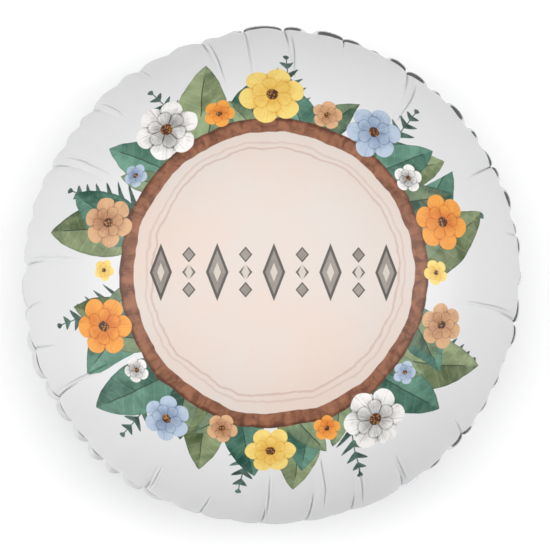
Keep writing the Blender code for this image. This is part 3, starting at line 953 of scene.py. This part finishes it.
mouth_floor = NECK_END - MOUTH_DEPTH
sleeve = [sleeve_row(neck_start, 0.0, True)]
outwards = np.linspace(neck_start + NECK_FIRST_ROW, NECK_END, OUTER_SLEEVE_ROWS)
inwards = np.linspace(NECK_END, mouth_floor, INNER_SLEEVE_ROWS)
sleeve += [sleeve_row(distance, 0.0, False) for distance in outwards]
sleeve += [sleeve_row(distance, NECK_WALL, False) for distance in inwards]
sleeve += [sleeve_row(mouth_floor - MOUTH_CLOSE, NECK_WALL, True)]
filling_neck = rolled_up("neck_sleeve", sleeve, SLEEVE_ROUND)
filling_neck.data.materials.append(silver_film)
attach(filling_neck, "root")
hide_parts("filling_neck")

# The valve film is a flat tube of thin clear plastic, welded inside the neck and closed by the
# gas's own pressure. Only its end shows, sticking out of the neck's mouth.
VALVE_WIDTH = 0.018
VALVE_LENGTH = 0.009
VALVE_INSIDE = 0.008
VALVE_HALF_THICKNESS = 0.00011
VALVE_WAVE = 0.00030
VALVE_WAVES = (520, 300)
VALVE_CURL = 0.0004
VALVE_LOOSE_FROM = 0.002
VALVE_COLUMNS = 15
VALVE_ROWS = 22
VALVE_ROUND = 0.04


def valve_row(distance, closed):
    across, up = there_and_back(np.linspace(-1, 1, VALVE_COLUMNS))
    across = across * VALVE_WIDTH / 2
    up = up * (0 if closed else VALVE_HALF_THICKNESS)
    loose = max(0.0, distance - NECK_END + VALVE_LOOSE_FROM) / VALVE_LENGTH
    wave = VALVE_WAVE * loose * np.sin(across * VALVE_WAVES[0] + distance * VALVE_WAVES[1])
    return neck_place(distance, across, up + wave + VALVE_CURL * loose**2)


valve_from, valve_to = NECK_END - VALVE_INSIDE, NECK_END + VALVE_LENGTH
tube = [valve_row(distance, False) for distance in np.linspace(valve_from, valve_to, VALVE_ROWS)]
tube = [valve_row(valve_from, True), *tube, valve_row(valve_to, True)]
valve_film = rolled_up("valve_tube", tube, VALVE_ROUND)

CLEAR_HAZE = (0.24, 0.40)
clear_film, sheet, shader = finish("valve_film")
shader["Base Color"].default_value = (0.80, 0.83, 0.86, 1.0)
shader["Alpha"].default_value = 0.55
haze = mottle(amount(sheet, "TexCoord", out="Object"), 260.0, 3.0)
feed(shader["Roughness"], ramp(haze, *MIDDLE_TONES, *CLEAR_HAZE))
dent(shader, haze, strength=0.3, distance=0.0004)
valve_film.data.materials.append(clear_film)
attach(valve_film, "root")
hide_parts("valve_film")

# The studio is a matt white table under a bright ceiling that is darker towards the walls, with a
# big soft lamp overhead, one at each side, and a small low one at the lower left.
WHITE = (1, 1, 1, 1)
TABLE_SIZE = 12
bpy.ops.object.select_all(action="DESELECT")
bpy.ops.mesh.primitive_plane_add(size=TABLE_SIZE)
table_top = bpy.context.object
table_top.name = "table_top"
matt_white, _, shader = finish("matt_white_table")
shader["Base Color"].default_value = (0.92, 0.92, 0.92, 1.0)
shader["Roughness"].default_value = 0.9
shader["Emission Color"].default_value = WHITE
shader["Emission Strength"].default_value = 0.15
table_top.data.materials.append(matt_white)

WALL_DARKNESS = 0.7
BACK_WALL_LIGHT = 0.2
CEILING_FROM, CEILING_TO = 0.50, 0.95
WALL_LIGHT, CEILING_LIGHT = 0.13, 0.80
studio = bpy.data.worlds.new("studio")
bpy.context.scene.world = studio
studio.use_nodes = True
room = studio.node_tree
_, back, height = parts_of(amount(room, "TexCoord", out="Generated"))
height = height - abs(back) * WALL_DARKNESS + back * BACK_WALL_LIGHT
light = room.nodes["Background"].inputs
feed(light["Strength"], ramp(height, CEILING_FROM, CEILING_TO, WALL_LIGHT, CEILING_LIGHT))
light["Color"].default_value = WHITE


def softbox(name, place, aim, size, power):
    lamp = bpy.data.objects.new(name, bpy.data.lights.new(name, "AREA"))
    lamp.data.shape = "DISK"
    lamp.data.size = size
    lamp.data.energy = power
    lamp.location = place
    lamp.rotation_euler = (Vector(aim) - Vector(place)).to_track_quat("-Z", "Y").to_euler()
    bpy.context.scene.collection.objects.link(lamp)


softbox("overhead_softbox", (0, 0.16, 2.4), (0, 0, 0), 2.2, 34)
softbox("left_softbox", (-1.5, 0, 1.5), (0, 0, 0.1), 1.2, 10)
softbox("right_softbox", (1.5, 0, 1.5), (0, 0, 0.1), 1.2, 11)
softbox("low_lamp", (-1.62, -0.94, 0.60), (0, 0, 0.1), 0.4, 4)

CAMERA_LENS = 291
CAMERA_TILT = 4
CAMERA_TOWARDS = 225
CAMERA_DISTANCE = 3.0
CAMERA_AIM = (0.0026, 0.0016, seam_height)
camera = bpy.data.objects.new("camera", bpy.data.cameras.new("camera"))
bpy.context.scene.collection.objects.link(camera)
camera.data.lens = CAMERA_LENS
camera.data.clip_end = 50
tilt, towards = math.radians(CAMERA_TILT), math.radians(CAMERA_TOWARDS)
away = Vector((math.sin(tilt) * math.cos(towards), math.sin(tilt) * math.sin(towards), math.cos(tilt)))
camera.location = Vector(CAMERA_AIM) + away * CAMERA_DISTANCE
side = Vector((0, 1, 0)).cross(away).normalized()
camera.rotation_euler = Matrix((side, away.cross(side), away)).transposed().to_euler()
bpy.context.scene.camera = camera
bpy.context.scene.view_settings.view_transform = "Standard"
